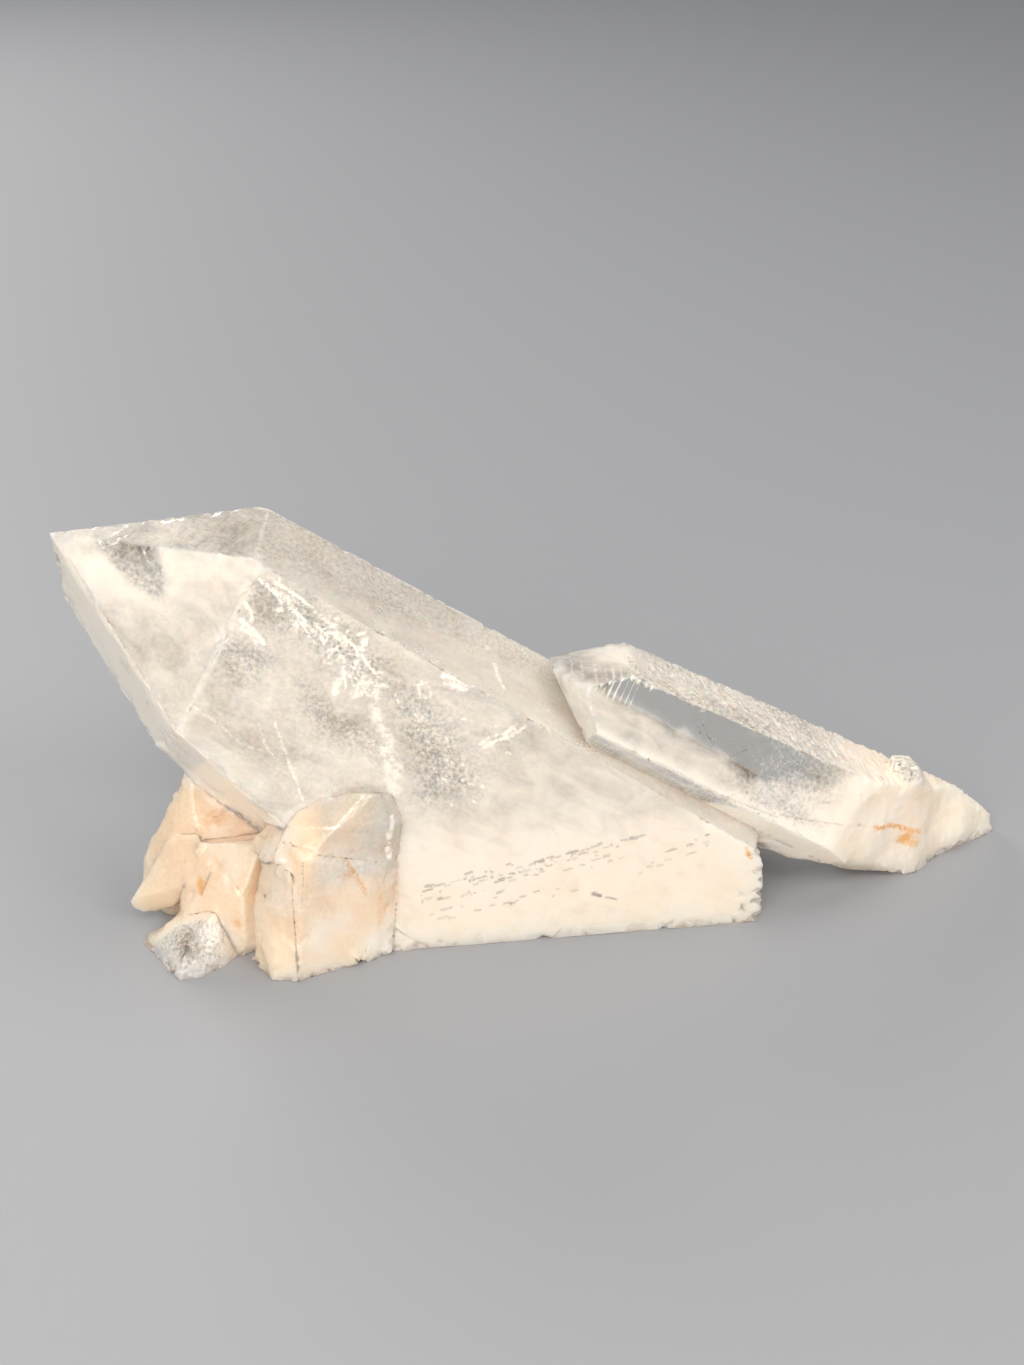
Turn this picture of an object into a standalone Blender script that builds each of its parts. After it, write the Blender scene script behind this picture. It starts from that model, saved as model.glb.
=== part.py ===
"""A quartz point: one large clear-to-milky crystal lying at a slant, a second crystal grown
along its upper side, and a clump of small peach-stained crystals under its point.

Everything grew together, so it is one closed solid. Lengths are in millimetres, turned into
metres by MM. The stone rests on z = 0, and the middle of its footprint is the origin.
"""

from math import cos, radians, sin, tan

import bmesh
import bpy
from mathutils import Matrix, Vector, noise

MM = 0.001
SPAN = 400.0          # side of the block that a crystal is cut from
MOST_RIGHT = 51.0     # where the roots of the crystals end
BURIED = 3.0          # how far each body runs below the table, until the ground cut
UP = Vector((0, 0, 1))
PYRAMID = 51.8        # slope of a quartz end face against the long axis, degrees
SIXTH = radians(60)

# --- the large crystal: tip, lie of its long axis, and its six side faces in turn ----------
MAIN_TIP = Vector((-43.0, -43.5, 38.9))
MAIN_LIE = (28.4, -177.2, 10.9)                    # tilt above the table, turn, roll
MAIN_SIDES = (9.6, 11.8, 8.5, 11.0, 11.5, 13.3)    # axis to each side face, at its shoulder
MAIN_SLOPES = (61.3, 55.2, 62.5, 37.6, 73.8, 52.5)
MAIN_FLARE = (0.0, -4.8, -2.0, 0.0, 14.3, 16.1)    # degrees that a side widens to the root
MAIN_LIFT = (0.0, 0.0, 0.1, 0.3, 7.2, 0.1)         # how far an end face stands off the tip
MAIN_END = (Vector((24.6, -50.0, 3.0)), Vector((0.99, 0.05, 0.10)))

# --- the second crystal, a few degrees off the first ---------------------------------------
SIDE_TIP = Vector((3.6, -43.6, 26.0))
SIDE_LIE = (31.2, -173.1, 23.3)
SIDE_SIDES = (5.7, 4.1, 3.6, 4.1, 6.0, 7.1)
SIDE_SLOPES = (50.0, 57.0, 58.0, 60.0, 60.0, 46.0)
SIDE_FLARE = (0.0, 2.1, 3.1, 0.0, 0.0, 0.7)
SIDE_LIFT = (2.4, 0.0, 0.0, 0.0, 0.0, 1.2)
ROOT_TOP = (Vector((40.8, -39.2, 12.2)), Vector((0.72, -0.03, 0.69)))
ROOT_FRONT = (Vector((39.7, -42.2, 0.0)), Vector((0.61, -0.78, 0.10)))
ROOT_UNDER = (Vector((36.0, -40.6, 0.0)), Vector((-0.12, -0.53, -0.84)))
ROOT_END = (Vector((50.3, -35.0, 3.0)), Vector((0.93, 0.30, 0.20)))

# --- the small crystals at the lower left, each the hull of its corners --------------------
BLOCKS = {
    "rear_blade": (
        (-31.5, -46.9, 15.3), (-28.5, -44.5, 13.5), (-33.1, -47.3, 12.2), (-34.4, -47.8, 9.8),
        (-35.5, -48.2, 8.1), (-36.2, -48.5, 6.3), (-36.5, -49.2, 3.8), (-35.6, -46.5, 1.5),
        (-32.8, -50.4, 9.7), (-34.6, -50.5, 6.4), (-29.9, -51.4, 9.6), (-23.9, -49.4, 8.9),
        (-22.4, -46.1, 6.2), (-34.5, -45.0, 0.0), (-30.0, -43.0, 0.0), (-22.6, -44.8, 0.0),
        (-22.5, -48.6, 0.0), (-33.0, -49.0, 0.0),
    ),
    "left_wedge": (
        (-34.3, -51.0, 7.3), (-37.5, -51.0, 2.9), (-37.3, -50.6, 1.9), (-36.3, -50.6, 1.3),
        (-35.2, -50.6, 1.3), (-33.2, -51.6, 2.7), (-32.1, -52.6, 5.6), (-29.2, -53.0, 8.5),
        (-30.3, -51.5, 10.6), (-32.8, -50.3, 9.7), (-33.0, -47.0, 3.5), (-28.0, -47.0, 3.0),
        (-30.0, -47.0, 8.0),
    ),
    "middle_lump": (
        (-29.9, -52.0, 10.1), (-29.1, -53.5, 8.3), (-25.6, -56.2, 6.6), (-25.6, -56.8, 2.2),
        (-32.4, -53.0, 3.8), (-31.4, -54.4, 3.4), (-23.8, -53.4, 11.2), (-31.0, -49.0, 0.0),
        (-26.6, -55.6, 0.0), (-20.3, -51.2, 0.0), (-21.8, -48.8, 9.4), (-30.0, -49.5, 8.6),
    ),
    "front_wedge": (
        (-20.4, -60.4, 0.0), (-22.8, -60.3, 0.0), (-24.7, -56.9, 0.0), (-20.8, -58.5, 11.0),
        (-23.3, -55.0, 11.8), (-24.6, -56.9, 6.2), (-24.2, -57.4, 3.0), (-18.9, -52.2, 0.0),
        (-23.8, -52.6, 0.0), (-18.7, -52.4, 9.9), (-19.8, -59.0, 6.0),
    ),
    "clear_lump": (
        (-35.9, -54.2, 0.0), (-35.6, -53.1, 0.3), (-33.9, -57.0, 0.0), (-31.5, -60.2, 0.0),
        (-29.7, -59.9, 0.0), (-27.4, -57.9, 0.0), (-26.5, -56.3, 0.0), (-33.4, -54.2, 2.5),
        (-31.4, -53.6, 3.6), (-28.5, -55.8, 4.5), (-30.8, -57.6, 3.0), (-27.6, -57.0, 3.0),
        (-33.0, -51.0, 0.0), (-28.0, -52.0, 0.0), (-31.0, -52.0, 3.0),
    ),
    "shelf": (
        (-24.6, -53.0, 11.6), (-23.2, -52.4, 12.6), (-22.2, -53.4, 13.1), (-21.2, -56.2, 13.4),
        (-19.8, -58.0, 12.8), (-22.0, -57.6, 11.6), (-23.4, -55.6, 10.6), (-24.0, -54.6, 10.4),
        (-22.1, -50.7, 12.1), (-20.2, -51.7, 13.4), (-20.1, -51.8, 9.1), (-23.9, -50.6, 9.2),
    ),
    "standing_crystal": (
        (-20.2, -60.4, 0.0), (-13.1, -56.7, 0.0), (-11.9, -55.9, 0.0), (-19.3, -59.0, 12.7),
        (-12.0, -55.6, 9.7), (-11.2, -54.8, 9.5), (-21.9, -57.4, 12.0), (-21.5, -56.6, 12.9),
        (-22.3, -49.8, 7.9), (-11.1, -50.2, 9.1), (-21.1, -49.7, 0.0), (-11.2, -50.1, 0.0),
        (-12.1, -50.3, 12.8), (-20.9, -49.9, 13.8),
    ),
    "standing_tip": (
        (-21.3, -56.0, 14.6), (-20.1, -54.9, 15.6), (-17.9, -54.3, 16.5), (-15.6, -54.3, 17.1),
        (-13.8, -54.6, 17.4), (-14.0, -55.5, 16.8), (-15.4, -56.7, 15.7), (-16.7, -57.6, 14.8),
        (-18.4, -57.2, 14.6), (-12.5, -54.2, 17.1), (-11.5, -54.9, 14.0), (-11.7, -53.1, 16.3),
        (-10.7, -53.4, 13.8), (-11.0, -54.0, 10.6), (-12.2, -55.1, 9.0), (-19.2, -58.2, 11.8),
        (-21.3, -56.6, 12.0), (-21.6, -50.4, 8.4), (-11.3, -49.6, 8.6), (-10.9, -49.5, 12.9),
    ),
    "root_chip": (
        (38.6, -40.7, 12.4), (40.6, -40.9, 12.2), (41.4, -41.0, 10.6), (39.4, -41.2, 9.6),
        (38.2, -40.6, 11.2), (38.4, -38.6, 12.2), (40.0, -38.8, 12.3), (41.8, -38.0, 10.2),
        (43.5, -38.5, 7.0), (37.0, -37.0, 7.0), (36.5, -40.5, 8.5),
    ),
}

# --- the foot of the large crystal, flush with its front face ------------------------------
FOOT_FRONT = ((-22.0, 10.5), (-11.5, 0.0), (4.6, 0.0))           # x, height
FOOT_INSET = 0.03
FOOT_BACK = (
    (-21.7, -41.0, 8.3), (-11.0, -38.6, 0.0), (9.0, -38.2, 0.0), (0.3, -45.2, 12.2),
    (-19.8, -45.4, 13.1), (-15.8, -49.3, 0.0),
)

# --- small marks cut into the surface ------------------------------------------------------
# Pits on the large crystal's front face: x, height, half length.
PITS = (
    (-8.1, 7.2, 1.8), (-8.2, 6.3, 1.6), (-7.0, 8.1, 0.7), (-4.2, 8.4, 1.0), (-5.4, 7.1, 0.5),
    (-2.2, 7.1, 0.6), (-0.4, 7.4, 0.6), (1.2, 5.2, 0.7), (3.4, 5.6, 0.4), (4.6, 7.4, 0.4),
    (2.9, 9.0, 0.7), (5.0, 9.3, 0.6), (5.8, 7.4, 0.4), (6.0, 6.6, 0.5), (8.0, 8.8, 0.8),
    (9.6, 8.8, 0.6), (10.0, 10.2, 0.9), (7.6, 6.6, 0.4), (8.2, 4.3, 0.4), (9.9, 3.9, 0.7),
)
PIT_SLOPE = 12.0      # degrees that a pit's long way rises to the right
# Growth grooves across the second crystal: distance down its axis from the tip, depth.
GROOVES = ((3.9, 0.14), (4.6, 0.20), (5.6, 0.16), (6.4, 0.22), (7.1, 0.24), (8.0, 0.14), (8.6, 0.20))
# Chips knocked off the edges: centre, radius, squash.
CHIPS = (
    ((-43.4, -40.0, 30.6), 0.8, 0.6), ((-41.2, -41.2, 26.9), 0.9, 0.6),
    ((-38.4, -43.6, 23.1), 0.8, 0.6), ((-14.5, -57.6, 0.2), 1.0, 0.6),
    ((-10.9, -56.2, 0.2), 1.3, 0.8), ((-24.8, -57.6, 0.2), 1.0, 0.7),
    ((3.0, -54.0, 0.1), 1.3, 0.5), ((15.2, -52.5, 0.1), 1.2, 0.5),
    ((-32.4, -59.2, 0.2), 0.9, 0.7), ((45.6, -39.0, 0.4), 1.3, 0.7),
    ((19.7, -39.7, 22.3), 0.9, 0.7), ((22.9, -39.1, 20.5), 0.8, 0.6),
    ((26.6, -38.6, 18.4), 0.9, 0.6), ((29.4, -38.2, 16.8), 0.8, 0.7),
    ((32.2, -37.7, 15.2), 0.9, 0.6), ((35.0, -37.2, 13.7), 0.8, 0.7),
)


def clear_scene():
    for obj in list(bpy.data.objects):
        bpy.data.objects.remove(obj, do_unlink=True)


def collection(name):
    made = bpy.data.collections.new(name)
    bpy.context.scene.collection.children.link(made)
    return made


def quartz():
    """Milky quartz, faintly peach, with a glassy surface."""
    material = bpy.data.materials.new("quartz")
    material.use_nodes = True
    shader = material.node_tree.nodes["Principled BSDF"]
    shader.inputs["Base Color"].default_value = (0.86, 0.80, 0.71, 1.0)
    shader.inputs["Roughness"].default_value = 0.18
    shader.inputs["Metallic"].default_value = 0.0
    shader.inputs["IOR"].default_value = 1.544
    shader.inputs["Transmission Weight"].default_value = 0.5
    return material


def make_object(name, bm, home, helper=True):
    """Turn bm, in millimetres, into an object; a helper is only an operand of a Boolean."""
    bmesh.ops.scale(bm, vec=(MM, MM, MM), verts=bm.verts)
    bmesh.ops.recalc_face_normals(bm, faces=bm.faces)
    mesh = bpy.data.meshes.new(name)
    bm.to_mesh(mesh)
    bm.free()
    obj = bpy.data.objects.new(name, mesh)
    home.objects.link(obj)
    if helper:
        obj.hide_render = True
        obj.display_type = "WIRE"
    return obj


def keep_below(bm, point, normal):
    """Cut bm at a plane, keep the side that the normal points away from, and close it."""
    geometry = bm.verts[:] + bm.edges[:] + bm.faces[:]
    cut = bmesh.ops.bisect_plane(
        bm, geom=geometry, plane_co=point, plane_no=normal, clear_outer=True
    )
    edges = [part for part in cut["geom_cut"] if isinstance(part, bmesh.types.BMEdge)]
    if edges:
        bmesh.ops.contextual_create(bm, geom=edges)


def directions(lie):
    """A crystal's long axis, the way its first side face looks, and the way a quarter on."""
    tilt, turn, roll = (radians(angle) for angle in lie)
    axis = Vector((cos(tilt) * cos(turn), cos(tilt) * sin(turn), sin(tilt)))
    level = UP.cross(axis).normalized()
    face = level * cos(roll) + axis.cross(level) * sin(roll)
    return axis, face, axis.cross(face)


def side_plane(tip, lie, distance, flare, number):
    """Point and normal of one side face of a crystal."""
    axis, face, across = directions(lie)
    out = face * cos(SIXTH * number) + across * sin(SIXTH * number)
    shoulder = tip - axis * distance * tan(radians(PYRAMID)) + out * distance
    return shoulder, out * cos(radians(flare)) + axis * sin(radians(flare))


def crystal(name, home, tip, lie, sides, slopes, flare, lift):
    """A six-sided crystal that ends in six faces, each side with its own width and slope."""
    axis, face, across = directions(lie)
    bm = bmesh.new()
    bmesh.ops.create_cube(bm, size=SPAN, matrix=Matrix.Translation(tip))
    for number in range(6):
        out = face * cos(SIXTH * number) + across * sin(SIXTH * number)
        slope = radians(slopes[number])
        normal = out * sin(slope) + axis * cos(slope)
        keep_below(bm, tip + normal * lift[number], normal)
        keep_below(bm, *side_plane(tip, lie, sides[number], flare[number], number))
    keep_below(bm, -UP * BURIED, -UP)
    keep_below(bm, Vector((MOST_RIGHT, 0, 0)), Vector((1, 0, 0)))
    return make_object(name, bm, home)


def block(name, home, corners):
    """The hull of a small crystal's corners; one that rests runs straight on below the table."""
    bm = bmesh.new()
    for x, y, z in corners:
        bm.verts.new((x, y, z))
        if z == 0:
            bm.verts.new((x, y, -BURIED))
    hull = bmesh.ops.convex_hull(bm, input=bm.verts[:])
    inside = {part for part in hull["geom_interior"] if isinstance(part, bmesh.types.BMVert)}
    bmesh.ops.delete(bm, geom=list(inside), context="VERTS")
    return make_object(name, bm, home)


def broken_face(name, home, plane, size, cells, bump, seed):
    """A cutter whose near side is a rough, conchoidal break, and whose far side is clear of it."""
    point, normal = plane
    bm = bmesh.new()
    bmesh.ops.create_grid(bm, x_segments=cells, y_segments=cells, size=size / 2)
    for vert in bm.verts:
        spot = Vector((vert.co.x / 4.0, vert.co.y / 4.0, seed))
        vert.co.z = bump * (noise.noise(spot) + 0.5 * noise.noise(spot * 2.7))
        vert.co.x += 0.25 * size / cells * noise.noise(spot * 3.1)
        vert.co.y += 0.25 * size / cells * noise.noise(spot * 3.7)
    top = bmesh.ops.extrude_face_region(bm, geom=bm.faces[:])["geom"]
    lifted = [part for part in top if isinstance(part, bmesh.types.BMVert)]
    bmesh.ops.translate(bm, vec=(0, 0, size / 2), verts=lifted)
    for vert in lifted:
        vert.co.z = size / 2
    turn = normal.normalized().to_track_quat("Z", "Y").to_matrix().to_4x4()
    bmesh.ops.transform(bm, matrix=Matrix.Translation(point) @ turn, verts=bm.verts)
    return make_object(name, bm, home)


def chip(name, home, centre, radius, squash, number):
    """A lumpy pebble-shaped cutter."""
    bm = bmesh.new()
    bmesh.ops.create_icosphere(bm, subdivisions=1, radius=radius)
    for vert in bm.verts:
        vert.co *= 1.0 + 0.5 * noise.noise(vert.co * 0.9 + Vector((number * 3.0, 0, 0)))
        vert.co.z *= squash
    turn = Matrix.Rotation(radians(37.0 * number), 4, "Z") @ Matrix.Rotation(0.6, 4, "X")
    bmesh.ops.transform(bm, matrix=Matrix.Translation(centre) @ turn, verts=bm.verts)
    return make_object(name, bm, home)


def ground(home):
    """Everything below the table, which gives the stone its flat underside."""
    bm = bmesh.new()
    bmesh.ops.create_cube(bm, size=SPAN, matrix=Matrix.Translation((0, 0, -SPAN / 2)))
    return make_object("ground", bm, home)


def on_face(plane, x, height, inset=0.0):
    """The spot of a face that looks forward, at this x and height, and inset behind it."""
    point, normal = plane
    y = point.y + (normal.x * (point.x - x) + normal.z * (point.z - height)) / normal.y
    return x, y + inset, height


def pit(name, home, x, height, half, plane):
    """A shallow etched pit on the face that plane gives."""
    bm = bmesh.new()
    bmesh.ops.create_icosphere(bm, subdivisions=1, radius=1.0)
    bmesh.ops.scale(bm, vec=(half, 0.22, 0.22), verts=bm.verts)
    turn = Matrix.Rotation(radians(-PIT_SLOPE), 4, "Y")
    spot = Matrix.Translation(on_face(plane, x, height))
    bmesh.ops.transform(bm, matrix=spot @ turn, verts=bm.verts)
    return make_object(name, bm, home)


def groove(name, home, tip, lie, along, depth, plane, length):
    """A narrow straight groove across a side face, square to the crystal's axis."""
    axis = directions(lie)[0]
    point, normal = plane
    across = axis.cross(normal).normalized()
    middle = tip - axis * along
    middle += normal * normal.dot(point - middle)
    bm = bmesh.new()
    bmesh.ops.create_cube(bm, size=1.0)
    bmesh.ops.scale(bm, vec=(length, 0.35, 2 * depth), verts=bm.verts)
    frame = Matrix((across, axis, normal.normalized())).transposed().to_4x4()
    bmesh.ops.transform(bm, matrix=Matrix.Translation(middle) @ frame, verts=bm.verts)
    return make_object(name, bm, home)


def combine(obj, name, operand, operation):
    modifier = obj.modifiers.new(name, "BOOLEAN")
    modifier.operation = operation
    modifier.solver = "EXACT"
    if isinstance(operand, bpy.types.Collection):
        modifier.operand_type = "COLLECTION"
        modifier.collection = operand
    else:
        modifier.object = operand
    return modifier


def settle(objects, stone):
    """Shift everything so that the origin is the middle of the stone's footprint."""
    bpy.context.view_layer.update()
    shape = stone.evaluated_get(bpy.context.evaluated_depsgraph_get())
    corners = [Vector(corner) for corner in shape.bound_box]
    low = Vector([min(corner[way] for corner in corners) for way in range(3)])
    high = Vector([max(corner[way] for corner in corners) for way in range(3)])
    middle = (low + high) / 2
    for obj in objects:
        obj.location = (-middle.x, -middle.y, -low.z)


def build():
    clear_scene()
    stone_home = collection("quartz_point")
    grown = collection("grown_on")
    cutters = collection("cutters")
    breaks = collection("breaks")

    stone = crystal("quartz_point", stone_home, MAIN_TIP, MAIN_LIE, MAIN_SIDES,
                    MAIN_SLOPES, MAIN_FLARE, MAIN_LIFT)
    stone.hide_render = False
    stone.display_type = "TEXTURED"
    stone.data.materials.append(quartz())
    combine(stone, "broken end",
            broken_face("main_end_break", breaks, MAIN_END, 50.0, 22, 0.9, 3.0), "DIFFERENCE")

    side = crystal("side_crystal", grown, SIDE_TIP, SIDE_LIE, SIDE_SIDES,
                   SIDE_SLOPES, SIDE_FLARE, SIDE_LIFT)
    root_cuts = (("root_top", ROOT_TOP, 0.8), ("root_front", ROOT_FRONT, 0.9),
                 ("root_under", ROOT_UNDER, 0.7), ("root_end", ROOT_END, 0.8))
    for number, (name, plane, bump) in enumerate(root_cuts):
        cutter = broken_face(name + "_break", breaks, plane, 40.0, 22, bump, 84.1 + number)
        combine(side, name, cutter, "DIFFERENCE")

    for name, corners in BLOCKS.items():
        block(name, grown, corners)
    front = side_plane(MAIN_TIP, MAIN_LIE, MAIN_SIDES[0], MAIN_FLARE[0], 0)
    foot = [on_face(front, x, height, FOOT_INSET) for x, height in FOOT_FRONT]
    block("foot", grown, foot + list(FOOT_BACK))
    combine(stone, "grown together", grown, "UNION")

    for number, (x, height, half) in enumerate(PITS):
        pit(f"pit_{number}", cutters, x, height, half, front)
    side_front = side_plane(SIDE_TIP, SIDE_LIE, SIDE_SIDES[0], SIDE_FLARE[0], 0)
    for number, (along, depth) in enumerate(GROOVES):
        groove(f"groove_{number}", cutters, SIDE_TIP, SIDE_LIE, along, depth, side_front, 7.0)
    for number, (centre, radius, squash) in enumerate(CHIPS):
        chip(f"chip_{number}", cutters, centre, radius, squash, number)
    combine(stone, "marks", cutters, "DIFFERENCE")
    combine(stone, "flat underside", ground(breaks), "DIFFERENCE")

    helpers = list(grown.objects) + list(cutters.objects) + list(breaks.objects)
    settle([stone] + helpers, stone)


build()
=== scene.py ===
"""The look of the quartz point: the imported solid, meshed finely, with etched, striated, chipped
and broken surfaces, clear and milky zones, iron stains, and fractures inside.

Places inside the crystals are given in millimetres in their own growth frame: u down the long
axis from the tip, v across the front face, w out towards it.
"""

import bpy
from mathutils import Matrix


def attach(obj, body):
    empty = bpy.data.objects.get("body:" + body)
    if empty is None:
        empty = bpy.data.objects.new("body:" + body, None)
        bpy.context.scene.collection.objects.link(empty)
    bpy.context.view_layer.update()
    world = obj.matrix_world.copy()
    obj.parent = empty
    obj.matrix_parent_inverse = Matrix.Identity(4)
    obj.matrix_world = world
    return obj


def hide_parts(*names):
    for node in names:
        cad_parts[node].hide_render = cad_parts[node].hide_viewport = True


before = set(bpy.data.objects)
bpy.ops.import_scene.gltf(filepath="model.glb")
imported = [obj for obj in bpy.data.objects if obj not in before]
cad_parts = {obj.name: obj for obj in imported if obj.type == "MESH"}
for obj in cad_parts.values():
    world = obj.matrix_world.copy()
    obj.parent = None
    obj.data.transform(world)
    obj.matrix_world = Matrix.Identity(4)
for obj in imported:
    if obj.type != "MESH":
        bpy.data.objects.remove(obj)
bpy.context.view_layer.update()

import random
from math import cos, pi, radians, sin, tan
from types import SimpleNamespace

import bmesh
import bpy
import numpy as np
from mathutils import Vector, kdtree, noise

MM = 0.001
NODE = "quartz_point"
# From the frame that the crystals' numbers are written in to the stone's own frame, mm.
SHIFT = np.array((-3.695, 44.839, 0.0))

# --- the two long crystals: tip, lie of the axis (tilt, turn, roll), and their six sides
MAIN = {
    "tip": (-43.0, -43.5, 38.9), "lie": (28.4, -177.2, 10.9),
    "sides": (9.6, 11.8, 8.5, 11.0, 11.5, 13.3), "flare": (0.0, -4.8, -2.0, 0.0, 14.3, 16.1),
    "slopes": (61.3, 55.2, 62.5, 37.6, 73.8, 52.5), "lift": (0.0, 0.0, 0.1, 0.3, 7.2, 0.1),
}
SIDE = {
    "tip": (3.6, -43.6, 26.0), "lie": (31.2, -173.1, 23.3),
    "sides": (5.7, 4.1, 3.6, 4.1, 6.0, 7.1), "flare": (0.0, 2.1, 3.1, 0.0, 0.0, 0.7),
    "slopes": (50.0, 57.0, 58.0, 60.0, 60.0, 46.0), "lift": (2.4, 0.0, 0.0, 0.0, 0.0, 1.2),
}
PYRAMID = 51.8  # tilt of an end face from square across the long axis, degrees
ON_PLANE = 0.06  # how near a plane a point counts as on it, mm
DEEP = 0.4  # how far inside the faces each grain lies, mm

# --- camera: its angle above the table, its distance, and its lens for a 36 mm frame, mm
CAMERA_RISE = 28.0
CAMERA_AWAY = 260.0
CAMERA_LENS = 57.44

# --- floor and light: each lamp's name, place and width in mm, and power in watts
FLOOR_SIDE = 3000.0
FLOOR = {"Base Color": (0.325, 0.335, 0.355, 1), "Roughness": 0.6}
STUDIO_COLOR = (0.86, 0.86, 0.86, 1)
STUDIO_STRENGTH = 0.42
LAMP_COLOR = (1.0, 0.965, 0.92)
LAMPS_AIM = (0, -45, 12)
LAMPS = (
    ("front_above", (-60, -340, 320), 320, 1.00),
    ("front_low", (-120, -390, 90), 280, 0.58),
    ("front_right", (270, -260, 330), 220, 0.58),
    ("overhead", (60, 40, 420), 300, 0.48),
    ("back_left", (-260, 330, 240), 240, 1.0),
)

# --- colours and optics
CREAM = (0.87, 0.79, 0.69, 1)  # milky quartz
PALE_AND_PAINTED_LIGHT = (0.995, 0.89, 0.79, 1)  # the palest tone; also painted fill light that brightens the root and other faces turned away from the lamps
ICE = (0.965, 0.945, 0.905, 1)  # clear quartz
PEACH = (0.9, 0.69, 0.495, 1)  # the warm tint of the small crystals
MILK = (0.955, 0.925, 0.88, 1)  # fine white cracks
RUST = (0.8, 0.43, 0.15, 1)  # iron stains
RUST_LINE = (0.86, 0.42, 0.1, 1)
# Painted shade in the small pits, whose hollows are flattened; also the stone's own darker spots, such as
# the brown dot on the small crystals.
DARK_AND_PAINTED_SHADE = (0.22, 0.2, 0.18, 1)
ABSORPTION = {"Color": (0.93, 0.87, 0.78, 1), "Density": 5.0}
QUARTZ = {
    "IOR": 1.544, "Subsurface Weight": 0.6, "Subsurface Radius": (1.0, 0.75, 0.55),
    "Subsurface Scale": 0.004,
}
FLAW = {"IOR": 1.25}
FLAW_DULL = (0.96, 0.93, 0.88, 1)
FLAW_BRIGHT = (0.98, 0.98, 0.98, 1)

# --- mesh, mm unless said otherwise
# The longest triangle edges: next to a sharp edge, on a flat, on the root, on a fine mark.
EDGE_NEAR, EDGE_FAR, EDGE_ROOT, EDGE_MARK = 0.5, 1.05, 0.48, 0.185
EDGE_COARSE = (16.0, 8.0, 4.0, 2.0, 1.4)  # of the first passes
NEAR = 2.0  # from this pass on, what is near counts
ROOT_FROM = 33.0  # x from which the root is meshed finely
SHARP = radians(7.0)  # a sharper edge gets wear and a fine mesh
SEAM = radians(25.0)  # a sharper hollow edge is a seam between crystals
CREASE = radians(32.0)  # a sharper edge is shaded as an edge
FLAT = radians(0.2)  # faces that differ by less are one flat
LEVEL = 0.002  # radians: across such an edge two triangles may be swapped
MERGE = 0.002  # points nearer than this are one
SLIVER_FIRST, SLIVER = 0.01, 0.004  # thinnest triangles before and after splitting
MARK_STEP = 0.06  # how close the spots along a fine mark lie

# --- clear windows and milky bands on a front side: u and v of each corner
TIP_WINDOW = (
    3.9, 1.5, 5.5, 3.9, 8.6, 4.1, 10.9, 2.1, 11.2, 0.1, 8.4, -0.3, 5.8, 0.6,
)
UPPER_FRONT = (
    14.5, 8.0, 24.0, 7.6, 33.0, 7.0, 43.0, 7.2, 48.5, 4.5, 48.0, -1.5, 46.5, -6.5, 41.0, -9.0,
    34.0, -12.0, 26.0, -12.5, 20.0, -9.5, 15.5, -4.0, 13.0, 2.0,
)
CLEARER = (
    (17.6, -0.6, 18.6, 1.0, 21.3, 1.0, 23.0, -0.9, 21.8, -2.9, 19.3, -3.2),
    (17.5, 4.6, 20.5, 2.6, 24.5, 2.6, 28.5, 1.4, 32.0, 2.6, 32.6, 4.4, 28.0, 5.6, 23.5, 7.0, 19.0, 7.2),
    (25.9, -1.2, 31.0, -1.9, 34.6, -2.6, 35.2, -4.2, 31.6, -5.2, 27.5, -3.2),
    (33.3, 3.6, 39.1, 2.3, 43.5, -1.2, 45.6, -4.0, 40.9, -6.4, 37.5, -2.2, 34.6, 0.4),
)
SIDE_WINDOW = (
    -0.3, -0.5, 0.9, 0.9, 5.3, 1.7, 10.5, 2.1, 18.4, 2.4, 25.6, 2.7, 31.0, 3.0, 33.0, 2.2, 30.5, 0.4,
    26.6, -0.6, 24.4, -1.5, 21.8, -2.4, 19.6, -1.9, 18.2, -1.5, 15.7, -1.3, 10.6, -1.0, 7.2, -0.8,
    4.6, -1.0,
)
SIDE_STRIP = (
    0.4, -3.9, 4.3, -4.8, 8.6, -5.1, 13.4, -4.9, 18.8, -5.1, 22.5, -5.4, 19.4, -6.3, 15.8, -6.7,
    12.6, -6.9, 6.5, -6.1, 1.2, -4.5,
)
STRIPES = (1.7, 2.5, 3.5, 4.3, 4.9, 5.5, 6.2, 6.8, 7.3)

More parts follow.
